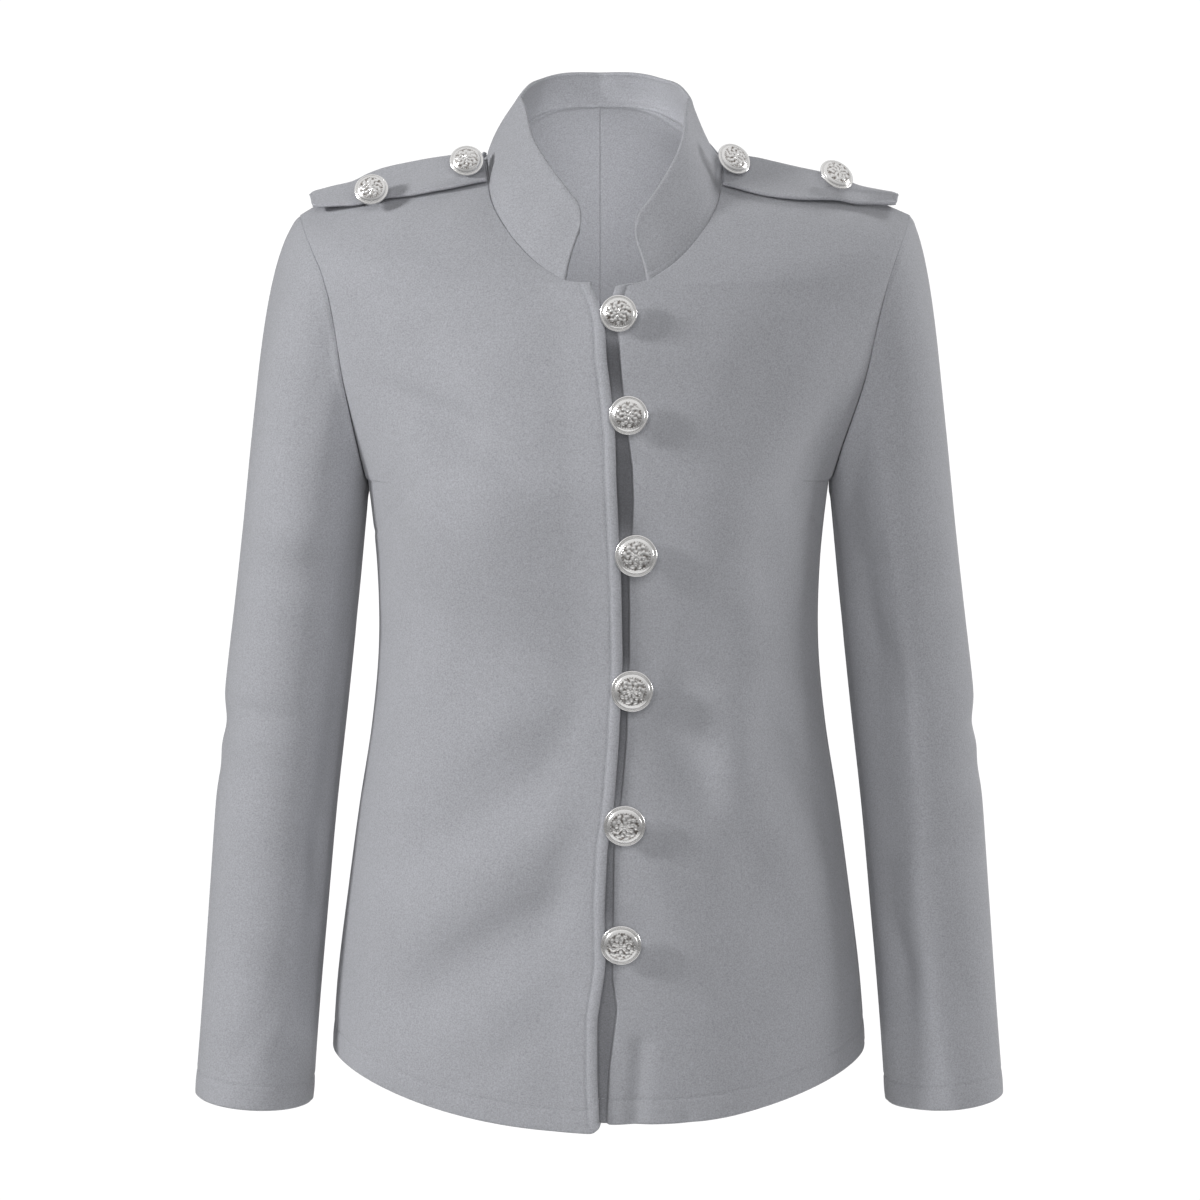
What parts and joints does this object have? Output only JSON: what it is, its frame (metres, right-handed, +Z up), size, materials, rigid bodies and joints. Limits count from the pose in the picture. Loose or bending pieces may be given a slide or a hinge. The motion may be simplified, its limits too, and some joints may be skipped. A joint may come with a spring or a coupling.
{
  "type": "military jacket",
  "caption": "Fitted hip-length military jacket with a stand collar, shoulder straps, domed metal shank buttons and long plain sleeves; open at the neck, hem and cuffs.",
  "frame": {"origin": "midway between the shoulders at the height where they carry the jacket", "axes": "+X to the wearer's left, -Y out of the chest, +Z up"},
  "size_m": [0.5262, 0.2339, 0.6648],
  "materials": {
    "cloth": "matt grey melton with a fine, short nap",
    "button_metal": "polished silver-coloured plate, a little aged in its hollows"
  },
  "bodies": {
    "root": {"front_right": "cloth", "front_left": "cloth", "back_right": "cloth", "back_left": "cloth", "sleeve_right": "cloth", "sleeve_left": "cloth", "collar": "cloth", "shoulder_strap_right": "cloth", "shoulder_strap_left": "cloth", "button_front_1": "button_metal", "button_front_2": "button_metal", "button_front_3": "button_metal", "button_front_4": "button_metal", "button_front_5": "button_metal", "button_front_6": "button_metal", "button_strap_right_outer": "button_metal", "button_strap_right_inner": "button_metal", "button_strap_left_inner": "button_metal", "button_strap_left_outer": "button_metal"}
  },
  "joints": []
}
